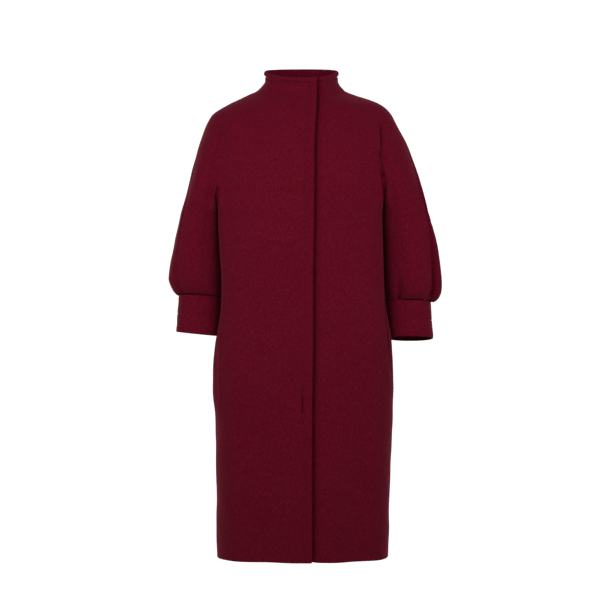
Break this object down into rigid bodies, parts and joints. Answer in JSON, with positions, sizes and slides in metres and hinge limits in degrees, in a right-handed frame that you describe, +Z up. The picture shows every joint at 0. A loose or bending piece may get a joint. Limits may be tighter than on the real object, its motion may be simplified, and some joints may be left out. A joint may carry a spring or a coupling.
{
  "type": "cocoon coat",
  "caption": "Knee-length cocoon coat with a funnel collar, balloon sleeves gathered into deep cuffs, a concealed front closure and side-seam pockets, worn and hollow.",
  "frame": {"origin": "middle of the base of the neck, where the wearer's neck and shoulders carry the coat", "axes": "+Z up, +Y towards the back, +X towards the wearer's left"},
  "size_m": [0.5645, 0.307, 1.0189],
  "materials": {
    "wine_wool": "felted, matte, with a short nap",
    "snap_metal": "black nickel"
  },
  "bodies": {
    "root": {"front_right": "wine_wool", "front_left": "wine_wool", "back_right": "wine_wool", "back_left": "wine_wool", "cuff_right": "wine_wool", "cuff_left": "wine_wool", "pocket_bag_right": "wine_wool", "pocket_bag_left": "wine_wool", "snap_1": "snap_metal", "snap_2": "snap_metal", "snap_3": "snap_metal", "snap_4": "snap_metal", "snap_5": "snap_metal"}
  },
  "joints": []
}
